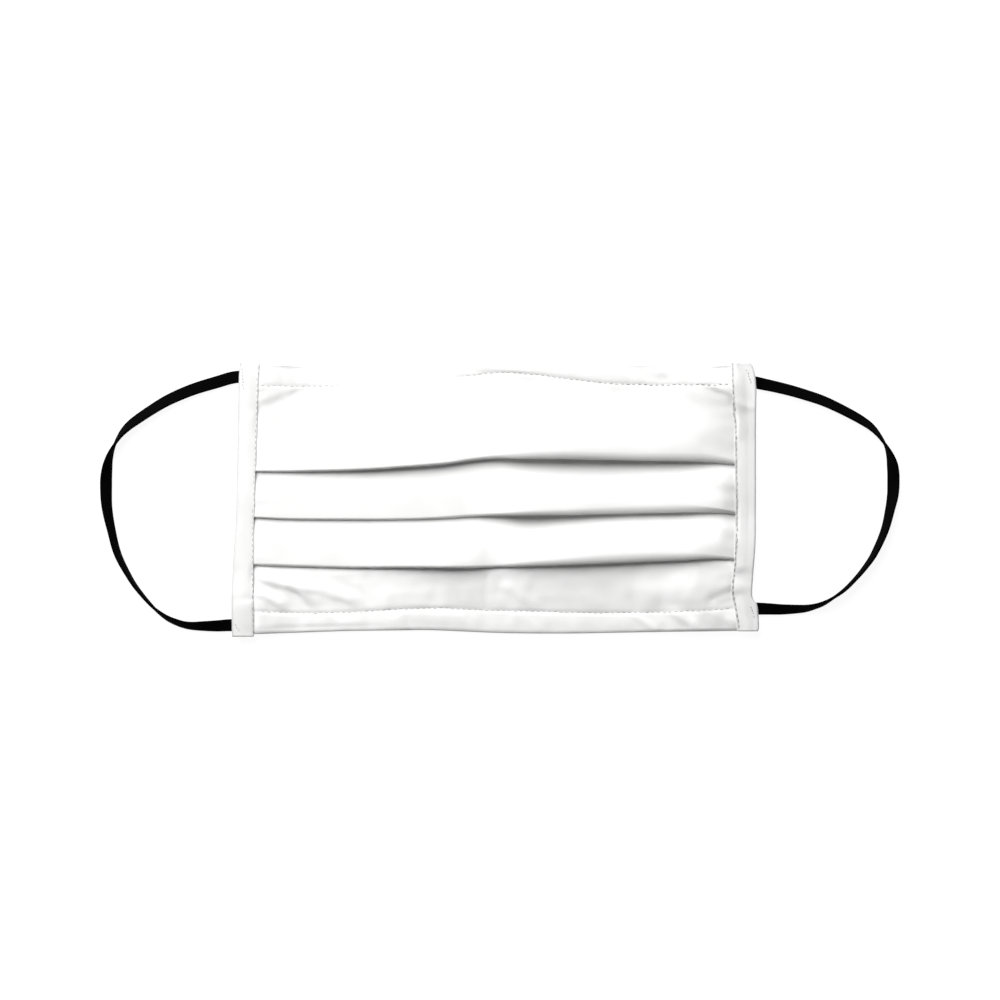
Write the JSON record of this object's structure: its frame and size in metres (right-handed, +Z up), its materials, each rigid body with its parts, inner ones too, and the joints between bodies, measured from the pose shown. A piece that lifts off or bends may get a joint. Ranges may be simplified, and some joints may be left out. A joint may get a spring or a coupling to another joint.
{
  "type": "cloth face mask",
  "caption": "Pleated cloth face mask with bound sides and flat elastic ear loops, lying flat on its back with its outer side up.",
  "frame": {"origin": "on the surface that the mask lies on, under the middle of the cloth body, which is measured without the ear loops", "axes": "+X towards the right ear loop as the picture shows it, +Y towards the top hem, +Z up, out of the mask's outer side"},
  "size_m": [0.2795, 0.0957, 0.0071],
  "materials": {
    "white_cotton": "plain woven cotton, matt",
    "white_binding": "folded strip of the same cotton, matt",
    "black_elastic": "flat braided elastic, matt"
  },
  "bodies": {
    "root": {"pleated_panel": "white_cotton", "left_side_binding": "white_binding", "right_side_binding": "white_binding", "left_ear_loop": "black_elastic", "right_ear_loop": "black_elastic"}
  },
  "joints": []
}
